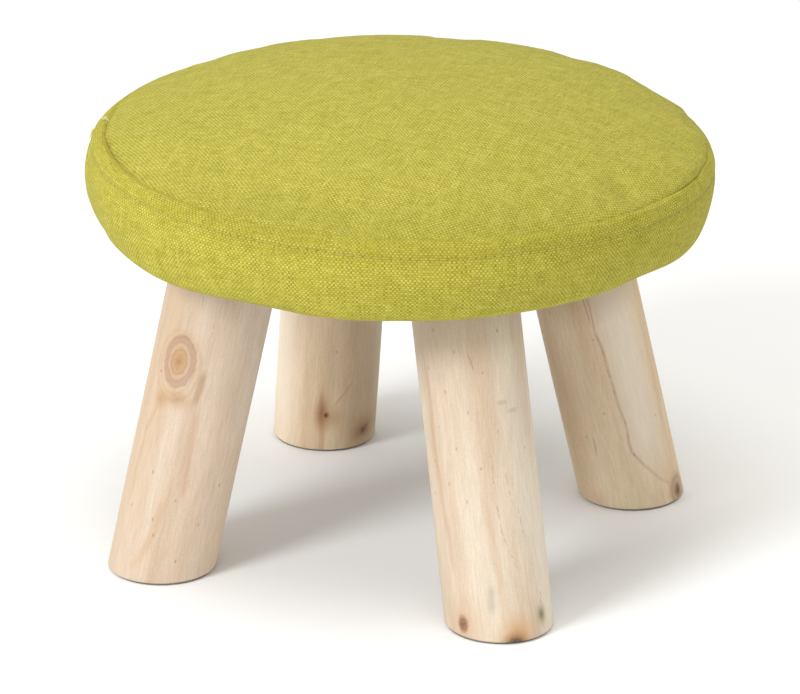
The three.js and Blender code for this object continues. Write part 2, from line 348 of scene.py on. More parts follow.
def set_shader(material, **inputs):
    """Leads constants and nodes into the material's Principled shader."""
    tree = material.node_tree
    for name, value in inputs.items():
        lead(tree, value, tree.nodes["Principled BSDF"].inputs[name.replace("_", " ")])
    return material


def begin_material(name, **constants):
    """A new material with a Principled shader, and the function that adds nodes to it."""
    material = bpy.data.materials.new(name)
    material.use_nodes = True
    return set_shader(material, **constants), functools.partial(add_node, material.node_tree)


def linen_material(name, stitched, tint):
    # Linen-look polyester cloth, plain woven, piece dyed: matt, bright round floats over gaps in painted
    # shade, thick and thin yarns, and a soft pale bloom at a flat angle from the fibre ends.
    material, add = begin_material(
        name, Roughness=0.78, Sheen_Weight=0.02, Sheen_Roughness=0.4,
        Sheen_Tint=hex_colour("f4f0c4"), Specular_IOR_Level=0.12,
    )
    cloth = add("UVMap", uv_map=CLOTH_MAP)
    yarns = add("Mapping", Vector=cloth, Scale=(1 / yarn_pitch_round, 1 / YARN_PITCH_UP, 1))
    spot = add("TexCoord").outputs["Object"]
    wander = add("TexNoise", Vector=spot, Scale=every(14), Detail=2.0).outputs["Color"]
    wander = add("VectorMath", wander, (0.5, 0.5, 0.5), operation="SUBTRACT")
    wander = add("VectorMath", wander, Scale=1.5, operation="SCALE")
    yarns = add("VectorMath", yarns, wander, operation="ADD")
    axes = add("SeparateXYZ", yarns)

    def half_waves(value):
        """1 at even whole numbers and -1 at odd ones, with waves between."""
        return add("Math", add("Math", value, math.pi, operation="MULTIPLY"), operation="COSINE")

    # The upright and the level yarns in turn: how round each is across, and where it floats on top
    systems = []
    for across, along, sign, lift in (("X", "Y", 1.0, 0.85), ("Y", "X", -1.0, 1.0)):
        number = add("Math", axes.outputs[across], operation="ROUND")
        rise = add("Math", half_waves(number), half_waves(axes.outputs[along]), operation="MULTIPLY")
        rise = add("Math", rise, sign, operation="MULTIPLY")
        rise = add("MapRange", rise, -1.0, 1.0, 0.0, lift)
        body = add("Math", half_waves(axes.outputs[across]), operation="ABSOLUTE")
        body = add("Math", body, 0.6, operation="POWER")
        height = add("Math", rise, body, operation="MULTIPLY")
        far = add("Math", axes.outputs[along], 0.11, operation="MULTIPLY")
        apart = add("Math", number, 3.7, operation="MULTIPLY")
        yarn = add("CombineXYZ", apart, far, 9.0 * sign)
        shade = add("TexNoise", Vector=yarn, Scale=1.0, Detail=1.0)
        systems.append((height, shade))
    (upright, upright_shade), (level, level_shade) = systems
    height = add("Math", upright, level, operation="MAXIMUM")
    lean = add("Math", level, upright, operation="SUBTRACT")
    level_share = add("MapRange", lean, -0.45, 0.45, interpolation_type="SMOOTHSTEP")
    yarn_shade = add("Mix", Factor=level_share, A=upright_shade, B=level_shade)
    yarn_shade = add("MapRange", yarn_shade, 0, 1, 0.13, 0.87)
    lighter = add("MapRange", level_share, 0, 1, -0.14, 0.15)
    yarn_shade = add("Math", yarn_shade, lighter, operation="ADD")
    fleck = add("TexNoise", Vector=spot, Scale=every(1.1), Detail=2.0)
    cloud = add("TexNoise", Vector=spot, Scale=every(9), Detail=3.0)

    floats = set_stops(add("ValToRGB", yarn_shade), (0.22, "8c862a"), (0.52, "aba543"), (0.84, "c6bf63"))
    depth = add("MapRange", height, 0.1, 0.6, 0.52, 1.0, interpolation_type="SMOOTHSTEP")
    # Painted shade: the weave is darkened along the front edge, above and below the seam.
    painted_front_shade = add("Attribute", attribute_name=PAINTED_FRONT_SHADE_MAP).outputs["Fac"]
    closed = add("MapRange", painted_front_shade, 0, 1, 1.0, 0.8)
    depth = add("Math", depth, closed, operation="MULTIPLY")
    # The gaps between the floats are darkened with painted shade.
    woven = add("Mix", Factor=depth, A=hex_colour("6a650b"), B=floats, data_type="RGBA")
    shade = add("MapRange", fleck, *NOISE_SPAN, 0.9, 1.1)
    mottle = add("MapRange", cloud, *NOISE_SPAN, 0.965, 1.035)
    brightness = add("Math", shade, mottle, operation="MULTIPLY")
    if stitched:
        holes = needle_holes(add, cloth)
        # The needle holes darken the colour with painted shade.
        brightness = add("Math", brightness, holes, operation="MULTIPLY")
    coloured = add("VectorMath", woven, Scale=brightness, operation="SCALE")
    # The tint is painted light on the top and painted shade on the side.
    coloured = add("VectorMath", coloured, tint, operation="MULTIPLY")

    fibre = add("Math", fleck, 0.16, operation="MULTIPLY")
    relief = add("Math", height, fibre, operation="ADD")
    if stitched:
        relief = add("Math", relief, holes, operation="ADD")
    bump = add("Bump", Height=relief, Strength=0.6, Distance=0.3 * MM)
    return set_shader(material, Base_Color=coloured, Normal=bump)


def needle_holes(add, cloth):
    """1 on plain cloth, and lower in the needle holes of the topstitching: painted shade in the holes, and a
    dip in the relief.
    """
    along = add("SeparateXYZ", cloth).outputs["X"]
    along = add("Math", along, 1 / stitch_length, operation="MULTIPLY")
    along = add("Math", along, operation="FRACT")
    along = add("Math", along, 0.5, operation="SUBTRACT")
    along = add("Math", along, stitch_length, operation="MULTIPLY")
    down = add("Attribute", attribute_name=STITCH_MAP).outputs["Fac"]
    distance = add("VectorMath", add("CombineXYZ", along, down), operation="LENGTH")
    return add("MapRange", distance, 0.15 * MM, 0.75 * MM, 0.68, 1.0)


# Knots, from the heart outwards: (how far out, with 0.5 at the edge, colour, strength)
RINGED_KNOT = (
    (0.0, "9a6c3c", 0.85), (0.07, "a87c4a", 0.8), (0.2, "b28c5e", 0.75), (0.25, "a47c56", 0.75),
    (0.29, "b7957a", 0.6), (0.33, "b59377", 0.6), (0.37, "a07c64", 0.7), (0.43, "aa8870", 0.7),
    (0.49, "9e7a5e", 0.65), (0.56, "c4a488", 0.3), (0.72, "d2b698", 0.0),
)
DARK_RINGED_KNOT = (
    (0.0, "4c3322", 0.9), (0.12, "60442e", 0.85), (0.22, "8c6c4e", 0.7), (0.3, "a98a6c", 0.6),
    (0.4, "8f7054", 0.65), (0.48, "ab8c6e", 0.5), (0.7, "c8ab8c", 0.0),
)
SOFT_KNOT = ((0.0, "a8845a", 0.7), (0.35, "b4926a", 0.5), (0.8, "ccaa84", 0.0))
SOFT_RED_KNOT = ((0.0, "86583a", 0.8), (0.3, "98694a", 0.65), (0.85, "bc9674", 0.0))
SOFT_DARK_KNOT = (
    (0.0, "4e3219", 0.95), (0.1, "6e4b2c", 0.8), (0.25, "8f6b45", 0.55), (0.5, "a08058", 0.3),
    (0.95, "b89a74", 0.0),
)
DARK_KNOT = ((0.0, "3c2a1f", 0.95), (0.25, "5c4330", 0.9), (0.45, "8a6240", 0.6), (0.85, "bf9468", 0.0))
RED_KNOT = (
    (0.0, "6a4430", 0.95), (0.3, "865c44", 0.85), (0.45, "a67c60", 0.6), (0.55, "c49f80", 0.35),
    (0.95, "cfae90", 0.0),
)
GREY_KNOT = ((0.0, "625a38", 0.85), (0.3, "7e7650", 0.7), (0.5, "989070", 0.5), (0.95, "bcae86", 0.0))
HALO = ((0.0, "b17d42", 0.75), (0.35, "bd8c54", 0.5), (0.9, "cfa97c", 0.0))
PINK_HALO = ((0.0, "bd9478", 0.5), (0.6, "c8a488", 0.3), (0.95, "d0b094", 0.0))
NICK = ((0.0, "8d7860", 0.32), (0.4, "9a846a", 0.24), (0.85, "bba68e", 0.0))
CURVED_GRAIN = (
    (0.0, "b99a7c", 0.0), (0.38, "b08c6c", 0.0), (0.43, "a98564", 0.4), (0.46, "b99a7c", 0.06),
    (0.51, "a98564", 0.34), (0.58, "b99a7c", 0.0),
)

# What each log shows. A place on it is (degrees round from its outer side, mm up from its foot).
# seed: where its grain is cut from; pith: how far its heart lies off the middle; rings: how strongly the
# late wood shows; unseen: degrees round to the middle of its far side; tint: its tone beside the others,
# which on the two back logs also holds painted shade, a yellower cast for their shaded place;
# pale: which side is painted paler, as painted light and shade round the log, and by how much.
# knots: place, half sizes across and along in mm, and the kind.
# streaks: from one place up to another, width in mm, strength, colour, and whether it is broken. The broad
# ones are painted light and painted shadow.
LOGS = {
    "front_left": {
        "seed": (3.1, 8.4, 1.7), "pith": (-3 * MM, 5 * MM), "rings": 0.24, "unseen": 245,
        # Its pale side is painted light.
        "tint": (1.02, 1.005, 1.0), "pale": (180, 0.14),
        "knots": (
            ((27, 96), (10.5, 15.5), CURVED_GRAIN),
            ((28.5, 98), (7.75, 11.8), RINGED_KNOT),
            ((35.4, 81.3), (6, 4), SOFT_KNOT),
            ((15.2, 79), (3.5, 4.5), SOFT_KNOT),
        ),
        "streaks": (
            # Painted shade: a broad darker band that dims the log's lit side.
            ((-5, 5), (-5, 150), 34.0, 0.3, "c6a684", False),
            ((55.6, 81), (58.4, 96), 5.0, 0.5, "a07a56", False),
            ((61.6, 57), (60, 78), 5.0, 0.3, "bb8c70", False),
            ((63.6, 40), (61.6, 57), 5.0, 0.3, "bb8c70", False),
            ((3.1, 61.7), (13.2, 75.8), 3.2, 0.35, "b5906c", False),
            ((0.3, 30), (3.1, 61.7), 3.2, 0.3, "b5906c", False),
            ((40.6, 20), (45.5, 35), 6.0, 0.28, "b88455", False),
            ((29, 2), (40.6, 20), 6.0, 0.28, "b88455", False),
            ((41.5, 124), (41.5, 129.5), 0.9, 0.6, "94604a", True),
            ((57.6, 113), (57.6, 119), 0.9, 0.5, "7d6650", True),
        ),
        "pins": (
            (26.1, 46), (57.6, 36.3), (6.8, 28), (41.9, 18.3), (88.2, 26.7), (105.2, 45.3),
            (7.2, 90.7), (37.4, 25.3), (71.3, 8.7),
        ),
    },
    "front_right": {
        "seed": (7.7, 2.2, 5.3), "pith": (4 * MM, -2 * MM), "rings": 0.11, "unseen": 155,
        # Its pale side is painted light.
        "tint": (0.985, 1.02, 1.035), "pale": (40, 0.03),
        "knots": (
            ((-69.7, 4.5), (5.5, 7.5), PINK_HALO),
            ((-69.7, 4), (3.0, 4.2), RED_KNOT),
            ((23.9, 4), (2.4, 3.4), GREY_KNOT),
            ((-11, -3), (6.8, 7), HALO),
            ((-13, -6), (4.8, 3.8), DARK_KNOT),
            ((12.9, 95.7), (2.2, 0.9), NICK),
            ((0.8, 100), (2.2, 0.9), NICK),
        ),
        "streaks": (
            ((-18.1, 56.7), (-19.4, 82.5), 0.8, 0.5, "8d745c", True),
            ((-14.5, 43.3), (-18.1, 56.7), 0.8, 0.5, "8d745c", True),
            ((-4.8, 27.5), (-14.5, 43.3), 0.8, 0.5, "8d745c", True),
            ((0, 55), (-4.8, 73.3), 0.8, 0.45, "8d745c", True),
            ((12.1, 38.3), (5.6, 54), 0.8, 0.45, "8d745c", True),
            ((-28, 116), (-31.5, 122.8), 0.8, 0.45, "8d745c", False),
            ((24, 9), (23.4, 14), 1.0, 0.5, "7d6650", True),
            # Painted shadow: the seat's shadow on the top of the log.
            ((-20, 122), (-20, 160), 110.0, 0.22, "8e7848", False),
            ((-83.9, 83), (-83.9, 116), 4.0, 0.32, "b58668", False),
            ((-79.8, 53), (-83.9, 83), 4.0, 0.32, "b58668", False),
            ((-73.8, 28), (-79.8, 53), 4.0, 0.3, "b58668", False),
            ((-33.5, 9), (-33.5, 20), 5.0, 0.35, "8f897c", False),
            ((-21.4, 6.7), (-29.4, 56.7), 4.4, 0.25, "b8946c", False),
        ),
        "pins": (
            (-66.9, 134.4), (-44.9, 124.6), (-79.8, 117.4), (-17.4, 114.2), (-60.2, 107.1), (-37, 97.5),
            (-73.4, 91.5), (-7.5, 87.6), (-54.4, 81.9), (-29.7, 72.5), (-68, 66.3), (-48.5, 58.4),
            (3.9, 131.3), (26.2, 78.2), (-94.7, 61.3), (-86.6, 76),
        ),
    },
    "back_right": {
        "seed": (1.4, 6.6, 9.1), "pith": (2 * MM, 6 * MM), "rings": 0.13, "unseen": 70,
        # Its yellower tint is partly painted shade, and its pale side is painted light.
        "tint": (0.99, 0.975, 0.875), "pale": (-30, 0.07),
        "knots": (
            ((-47.3, 0.5), (6.5, 8), DARK_RINGED_KNOT),
            ((-148.4, 7.5), (3.5, 4.5), PINK_HALO),
        ),
        "streaks": (
            # Painted light: a broad paler band on the log's lit side.
            ((-76, 20), (-86, 120), 30.0, 0.5, "ded6cb", False),
            # Painted shadow: the seat's shadow on the top of the log.
            ((-110, 104), (-110, 150), 110.0, 0.36, "8a7048", False),
            ((-104.1, 70), (-108.9, 95), 2.4, 0.36, "a5825a", False),
            ((-99.6, 41.7), (-104.1, 70), 2.4, 0.38, "a5825a", False),
            ((-97.6, 30), (-99.6, 41.7), 2.2, 0.4, "94724e", False),
            ((-99.6, 41.7), (-108.9, 95), 0.9, 0.45, "86683f", True),
            ((-88, 22.5), (-97.6, 30), 2.6, 0.36, "a07a52", False),
            ((-72, 12.5), (-88, 22.5), 3.4, 0.28, "a07a52", False),
            ((-61, 7.5), (-72, 12.5), 4.0, 0.2, "a07a52", False),
            ((-108.9, 97), (-109.4, 114), 1.2, 0.45, "8d745c", False),
            ((-112.6, 100), (-113.8, 114), 1.2, 0.45, "8d745c", False),
            ((-139, 33), (-139, 41), 1.0, 0.45, "7d6650", False),
        ),
        "pins": (
            (-119.9, 53.4), (-147.5, 41.5), (-158.4, 105.5), (-113.6, 91.5), (-59.4, 42.9), (-97.5, 29.9),
        ),
    },
    "back_left": {
        "seed": (5.9, 4.3, 2.8), "pith": (-5 * MM, -3 * MM), "rings": 0.2, "unseen": -20,
        # Its yellower tint is partly painted shade, and its pale side is painted light.
        "tint": (0.98, 0.975, 0.9), "pale": (85, 0.17),
        "knots": (
            ((171.5, 24.5), (7, 6.5), SOFT_KNOT),
            ((163.2, 27), (2.6, 8.5), SOFT_RED_KNOT),
            ((168.4, 25.8), (1.2, 1.7), DARK_KNOT),
            ((-143.2, 13.3), (9.5, 9), SOFT_DARK_KNOT),
        ),
        "streaks": (
            # Painted light: a broad paler band on the log's lit side.
            ((100, 5), (100, 150), 40.0, 0.45, "ece3d7", False),
            ((164.9, 2), (161.8, 40), 3.8, 0.4, "a0704c", False),
            ((177.7, 31.8), (-163.7, 43.6), 2.6, 0.3, "a07a52", False),
        ),
        "pins": ((176, 62), (196, 84)),
    },
}


# For the far sides: degrees to one side, half sizes in mm, and the kind of knot
UNSEEN_KNOTS = (
    (-30, (5.4, 8.2), RINGED_KNOT),
    (35, (3.2, 4.6), RED_KNOT),
    (0, (6.5, 9.0), DARK_RINGED_KNOT),
    (-20, (2.6, 3.8), GREY_KNOT),
)


def add_unseen_marks(log, seed):
    """Gives the side of a log that faces away from the front a knot or two and some pins."""
    pick = random.Random(seed)
    away = log["unseen"]
    knots = []
    for side, size, rings in pick.sample(UNSEEN_KNOTS, 1 + seed % 2):
        height = pick.uniform(30, 125)
        knots.append(((away + side + pick.uniform(-30, 30), height), size, rings))
    pins = [(away + pick.uniform(-75, 75), pick.uniform(8, 140)) for _ in range(7)]
    streaks = [((away, 5.0), (away + pick.uniform(-14, 14), 120.0), 2.6, 0.35, "b98a5a", False)]
    return {
        **log,
        "knots": log["knots"] + tuple(knots),
        "pins": log["pins"] + tuple(pins),
        "streaks": log["streaks"] + tuple(streaks),
    }


def pine_material(place, log):
    # Pine pole, peeled, dried and sanded, with no varnish: matt and pale, with soft long grain, brown
    # ringed knots where branches grew, and small dark pins.
    material, add = begin_material(
        "Peeled pine " + place.replace("_", " "), Roughness=0.6, Specular_IOR_Level=0.3,
    )
    spot = add("Attribute", attribute_name=LOG_MAP).outputs["Vector"]
    radius = LOG_DIAMETER / 2

    def reach_towards(x, y):
        """How far a spot lies from the log's middle line in that direction across it."""
        return add("VectorMath", spot, (x, y, 0), operation="DOT_PRODUCT")

    # Long soft tones, then rings where the peeled face cuts through them, then short fibres
    stretched = add("Mapping", Vector=spot, Scale=every(14, 14, 140), Location=log["seed"])
    tone = add("TexNoise", Vector=stretched, Scale=1.0, Detail=3.0)
    base = set_stops(add("ValToRGB", tone), (0.3, "c7af96"), (0.5, "d1bea8"), (0.72, "d8cab7"))
    bent = add("Mapping", Vector=spot, Scale=every(22, 22, 110), Location=log["seed"])
    bend = add("TexNoise", Vector=bent, Scale=1.0, Detail=2.0)
    bend = add("Math", bend, 9 * MM, operation="MULTIPLY")
    flat = add("VectorMath", spot, (1, 1, 0), operation="MULTIPLY")
    from_pith = add("VectorMath", flat, (*log["pith"], 0), operation="DISTANCE")
    ring = add("Math", from_pith, bend, operation="ADD")
    ring = add("Math", ring, every(GROWTH_RING), operation="MULTIPLY")
    ring = add("Math", ring, operation="FRACT")
    late = set_stops(add("ValToRGB", ring),
                     (0.0, "000000"), (0.5, "101010"), (0.88, "a0a0a0"), (1.0, "000000"))
    late = add("Math", late, log["rings"], operation="MULTIPLY")
    base = add("Mix", Factor=late, A=base, B=hex_colour("ad8d70"), data_type="RGBA")
    # Painted light and shade: the tint is the log's own tone, but on the two back logs its lower blue is
    # painted shade; then one side is painted paler and the other darker.
    base = add("VectorMath", base, log["tint"], operation="MULTIPLY")
    turn, amount = math.radians(log["pale"][0]), log["pale"][1]
    facing = reach_towards(math.cos(turn), math.sin(turn))
    painted_side_light = add("MapRange", facing, -radius, radius, 1 - amount, 1 + amount)
    fibres = add("Mapping", Vector=spot, Scale=every(0.77, 0.77, 9))
    fibre = add("TexNoise", Vector=fibres, Scale=1.0, Detail=2.0)
    fibre_shade = add("MapRange", fibre, *NOISE_SPAN, 0.93, 1.06)
    fleck = add("TexNoise", Vector=spot, Scale=every(0.9), Detail=2.0)
    speckle = add("MapRange", fleck, *NOISE_SPAN, 0.96, 1.04)
    for shade in (painted_side_light, fibre_shade, speckle):
        base = add("VectorMath", base, Scale=shade, operation="SCALE")

    def distance_round(angle):
        """How far a spot lies from that angle, round the log."""
        turn = math.radians(angle)
        facing = reach_towards(math.cos(turn), math.sin(turn))
        sideways = reach_towards(-math.sin(turn), math.cos(turn))
        swung = add("Math", sideways, facing, operation="ARCTAN2")
        return add("Math", swung, radius, operation="MULTIPLY")

    height = add("SeparateXYZ", spot).outputs["Z"]
    wobble = add("TexNoise", Vector=spot, Scale=every(3), Detail=2.0)
    sway = add("TexNoise", Vector=spot, Scale=every(17), Detail=1.0)
    sway = add("MapRange", sway, 0, 1, -1.5 * MM, 1.5 * MM)

    # Streaks: stains, grain lines, short cracks and broad bands of painted light and shadow, each from one
    # spot on the log up to another
    for (start, low), (end, high), width, strength, colour, broken in log["streaks"]:
        shift = turn_between(math.radians(end), math.radians(start)) * radius
        along = add("MapRange", height, low * MM, high * MM, 0.0, shift)
        across = add("Math", distance_round(start), along, operation="SUBTRACT")
        across = add("Math", across, sway, operation="ADD")
        off = add("Math", across, operation="ABSOLUTE")
        body = add("MapRange", off, width * 0.1 * MM, width * 0.5 * MM, strength, 0.0,
                   interpolation_type="SMOOTHSTEP")
        fade = (high - low) * 0.15 * MM
        starts = add("MapRange", height, low * MM - fade, low * MM + fade)
        ends = add("MapRange", height, high * MM - fade, high * MM + fade, 1.0, 0.0)
        body = add("Math", body, starts, operation="MULTIPLY")
        body = add("Math", body, ends, operation="MULTIPLY")
        if broken:
            gaps = add("MapRange", wobble, 0.45, 0.6)
            body = add("Math", body, gaps, operation="MULTIPLY")
        base = add("Mix", Factor=body, A=base, B=hex_colour(colour), data_type="RGBA")

    mottle = add("MapRange", fleck, *NOISE_SPAN, 0.84, 1.1)

    # Knots: ovals with rings of their own, a heart and a stained edge
    raised = None
    for (turn, along), (wide, high), kind in log["knots"]:
        across = add("Math", distance_round(turn), every(wide), operation="MULTIPLY")
        up = add("Math", height, along * MM, operation="SUBTRACT")
        up = add("Math", up, every(high), operation="MULTIPLY")
        reach = add("VectorMath", add("CombineXYZ", across, up), operation="LENGTH")
        ragged = add("MapRange", wobble, 0, 1, -0.12, 0.12)
        reach = add("Math", reach, ragged, operation="ADD")
        half = add("Math", reach, 0.5, operation="MULTIPLY")
        rings = set_stops(add("ValToRGB", half), *kind)
        cover = add("Math", rings.outputs["Alpha"], mottle, operation="MULTIPLY", use_clamp=True)
        base = add("Mix", Factor=cover, A=base, B=rings, data_type="RGBA")
        if kind is CURVED_GRAIN:
            continue
        swell = add("MapRange", reach, 0.0, 1.1, 1.0, 0.0, interpolation_type="SMOOTHSTEP")
        raised = swell if raised is None else add("Math", raised, swell, operation="ADD")

    # Pins: the ends of needle-fine branches, each a dark fleck drawn out along the grain
    nearest = None
    squeezed = add("VectorMath", spot, (1, 1, 0.5), operation="MULTIPLY")
    for angle, along in log["pins"]:
        turn = math.radians(angle)
        pin = (radius * math.cos(turn), radius * math.sin(turn), along * MM * 0.5)
        gap = add("VectorMath", squeezed, pin, operation="DISTANCE")
        nearest = gap if nearest is None else add("Math", nearest, gap, operation="MINIMUM")
    ragged = add("MapRange", wobble, 0, 1, -0.3 * MM, 0.3 * MM)
    nearest = add("Math", nearest, ragged, operation="ADD")
    pin_body = add("MapRange", nearest, 0.05 * MM, 0.62 * MM, 0.6, 0.0)
    base = add("Mix", Factor=pin_body, A=base, B=hex_colour("7d6650"), data_type="RGBA")

    grain = add("Math", fibre, 0.5, operation="MULTIPLY")
    grain = add("Math", grain, raised, operation="ADD")
    grain = add("Math", grain, pin_body, operation="SUBTRACT")
    bump = add("Bump", Height=grain, Strength=0.5, Distance=0.12 * MM)
    return set_shader(material, Base_Color=base, Normal=bump)


def thread_material():
    # Polyester sewing thread, dyed to match: two twisted plies, a little glossier than the cloth. A turn of
    # the twist takes 0.52 mm, and the wave pattern draws a band in pi / 10 of its own unit.
    material, add = begin_material("Lime polyester sewing thread", Roughness=0.6, Sheen_Weight=0.15)
    spot = add("TexCoord").outputs["Object"]
    plies = add("TexWave", Vector=spot, Scale=every(0.52) * math.pi / 10, Distortion=1.5,
                bands_direction="DIAGONAL").outputs["Fac"]
    # The colour darkens with the relief between the plies: painted shade in the grooves.
    colour = set_stops(add("ValToRGB", plies), (0.2, "918a2b"), (0.8, "b1aa42"))
    bump = add("Bump", Height=plies, Strength=0.4, Distance=0.08 * MM)
    return set_shader(material, Base_Color=colour, Normal=bump)


def grained_material(name, size, detail, tones, rough=None, bump=None, **constants):
    """A material whose tone wanders between two colours, and its roughness or its relief with it."""
    material, add = begin_material(name, **constants)
    spot = add("TexCoord").outputs["Object"]
    grain = add("TexNoise", Vector=spot, Scale=every(size), Detail=detail)
    set_shader(material, Base_Color=set_stops(add("ValToRGB", grain), *tones))
    if rough:
        set_shader(material, Roughness=add("MapRange", grain, *NOISE_SPAN, *rough))
    if bump:
        strength, depth = bump
        set_shader(material, Normal=add("Bump", Height=grain, Strength=strength, Distance=depth))
    return material


def frayed_yarn_material():
    # Undyed core of a cut polyester yarn: loose pale fibres that catch the light.
    return grained_material(
        "Pale frayed yarn", 0.4, 2.0, ((0.3, "d6cd86"), (0.7, "efe9c4")), Roughness=0.7, Sheen_Weight=0.4,
    )


def foam_material():
    # Open-cell polyurethane foam, cut from a block: cream, dull and full of fine pores.
    material, add = begin_material(
        "Cut cream polyurethane foam", Roughness=0.95, Specular_IOR_Level=0.2,
    )
    spot = add("TexCoord").outputs["Object"]
    pores = add("TexVoronoi", Vector=spot, Scale=every(1.2))
    age = add("TexNoise", Vector=spot, Scale=every(33))
    cream = set_stops(add("ValToRGB", age), (0.3, "e6d9ac"), (0.7, "f1e9cc"))
    # The pores are darkened with painted shade.
    painted_pore_shade = add("MapRange", pores, 0.0, 0.5, 0.75, 1.0)
    colour = add("VectorMath", cream, Scale=painted_pore_shade, operation="SCALE")
    bump = add("Bump", Height=pores, Strength=0.6, Distance=0.4 * MM)
    return set_shader(material, Base_Color=colour, Normal=bump)


def non_woven_material():
    # Black spunbond polypropylene: matt, with the small diamond bonds pressed in by the roller, drawn at
    # 1.6 mm apart, and the swirl of the spun fibres between them.
    material, add = begin_material(
        "Black spunbond non-woven", Roughness=0.82, Specular_IOR_Level=0.35,
    )
    spot = add("TexCoord").outputs["Object"]
    apart = every(1.6)
    turned = add("Mapping", Vector=spot, Rotation=(0, 0, math.radians(45)), Scale=(apart, apart, 0))
    cell = add("VectorMath", turned, operation="FRACTION")
    cell = add("VectorMath", cell, (0.5, 0.5, 0), operation="SUBTRACT")
    reach = add("VectorMath", cell, operation="LENGTH")
    bond = add("MapRange", reach, 0.16, 0.3, 0.0, 1.0)
    swirl = add("TexNoise", Vector=spot, Scale=every(1.4), Detail=3.0, Distortion=1.5)
    fibres = set_stops(add("ValToRGB", swirl), (0.3, "1b1b1c"), (0.7, "353536"))
    colour = add("Mix", Factor=bond, A=hex_colour("121213"), B=fibres, data_type="RGBA")
    height = add("Math", bond, swirl, operation="ADD")
    bump = add("Bump", Height=height, Strength=0.6, Distance=0.15 * MM)
    return set_shader(material, Base_Color=colour, Normal=bump)


def plywood_material():
    # Birch plywood: pale rotary-cut faces with long flame grain, and at the edge thin plies, light and dark
    # in turn.
    material, add = begin_material("Birch plywood", Roughness=0.68, Specular_IOR_Level=0.3)
    spot = add("TexCoord").outputs["Object"]
    axes = add("SeparateXYZ", spot)
    ply = (board_high.z - board_low.z) / PLY_COUNT
    level = add("Math", axes.outputs["Z"], board_low.z, operation="SUBTRACT")
    level = add("Math", level, 1 / ply, operation="MULTIPLY")
    layer = add("Math", level, 2.0, operation="MODULO")
    dark = add("Math", layer, 1.0, operation="GREATER_THAN")
    along = add("Mapping", Vector=spot, Scale=every(71, 6.3, 3.3))
    flame = add("TexNoise", Vector=along, Scale=1.0, Detail=4.0, Distortion=0.6)
    light_ply = set_stops(add("ValToRGB", flame), (0.35, "c9a574"), (0.65, "e2c79b"))
    end_grain = set_stops(add("ValToRGB", flame), (0.35, "8f6a42"), (0.65, "b48b5c"))
    colour = add("Mix", Factor=dark, A=light_ply, B=end_grain, data_type="RGBA")
    bump = add("Bump", Height=flame, Strength=0.3, Distance=0.2 * MM)
    return set_shader(material, Base_Color=colour, Normal=bump)


def zinc_material():
    # Steel, bright zinc plated in a barrel: cool grey, softly mirrored, with small dull handling marks.
    return grained_material(
        "Zinc plated steel", 3.8, 4.0, ((0.35, "a9adb1"), (0.65, "c9cdd0")), rough=(0.28, 0.45), Metallic=1.0,
    )


def staple_material():
    # Drawn and galvanised staple wire: grey and half bright, with faint dull marks from the drawing die.
    return grained_material(
        "Galvanised staple wire", 0.7, 2.0, ((0.35, "8f9193"), (0.65, "b7b9ba")), rough=(0.32, 0.5),
        Metallic=1.0,
    )


def rubber_material():
    # Cellular rubber sheet, die cut: mid grey and dull, with a fine skin grain.
    return grained_material(
        "Grey cellular rubber", 0.55, 3.0, ((0.3, "6e6e6a"), (0.7, "888883")), bump=(0.5, 0.1 * MM),
        Roughness=0.9, Specular_IOR_Level=0.3,
    )


# Seat cover

def crown_height(radius):
    share = min(radius / seam_radius, 1)
    fullness, shoulder = CROWN_FULLNESS
    return seam_z + (top_z - seam_z) * (1 - share ** fullness) ** shoulder


overhang = seat_radius - board_radius
CROWN_SHARES = (0, 0.16, 0.32, 0.48, 0.62, 0.74, 0.84, 0.91, 0.96)
SIDE_SHARES = (  # out from the board's edge to the widest part, and up from the hem to the seam
    (0.765, 0.985), (0.86, 0.9), (0.955, 0.765), (1, 0.597), (0.945, 0.38), (0.77, 0.165),
    (0.525, 0.066), (0.22, 0.012), (0.0, 0),
)
outline = [Vector((share * seam_radius, crown_height(share * seam_radius))) for share in CROWN_SHARES]
outline += [Vector((board_radius + out * overhang, hem_z + up * BAND_HEIGHT)) for out, up in SIDE_SHARES]
outline += [Vector((board_radius - HEM_WIDTH * share, hem_z)) for share in (0.35, 0.7, 1)]
outline = through(outline, 14)
travelled = [0.0]
for start, end in zip(outline, outline[1:]):
    travelled.append(travelled[-1] + (end - start).length)
cloth_end = travelled[-1]


def outline_at(distance):
    """The outer face's (radius, height) and outward direction, so far from the middle of the top."""
    distance = clamp(distance, 0, cloth_end)
    low = clamp(bisect.bisect_right(travelled, distance) - 1, 0, len(travelled) - 2)
    high = low + 1
    share = (distance - travelled[low]) / (travelled[high] - travelled[low])
    place = outline[low].lerp(outline[high], share)
    along = (outline[min(high + 1, len(outline) - 1)] - outline[max(low - 1, 0)]).normalized()
    return place, Vector((-along.y, along.x))


seam_distance = next(distance for place, distance in zip(outline, travelled) if place.x >= seam_radius)


def seam_at(around):
    return seam_distance + ASKEW * math.cos(turn_between(around, math.radians(ASKEW_TOWARDS)))


def place_cover_point(around, distance, proud):
    place, outward = outline_at(distance)
    place = place + outward * proud
    return Vector((place.x * math.cos(around), place.x * math.sin(around), place.y))


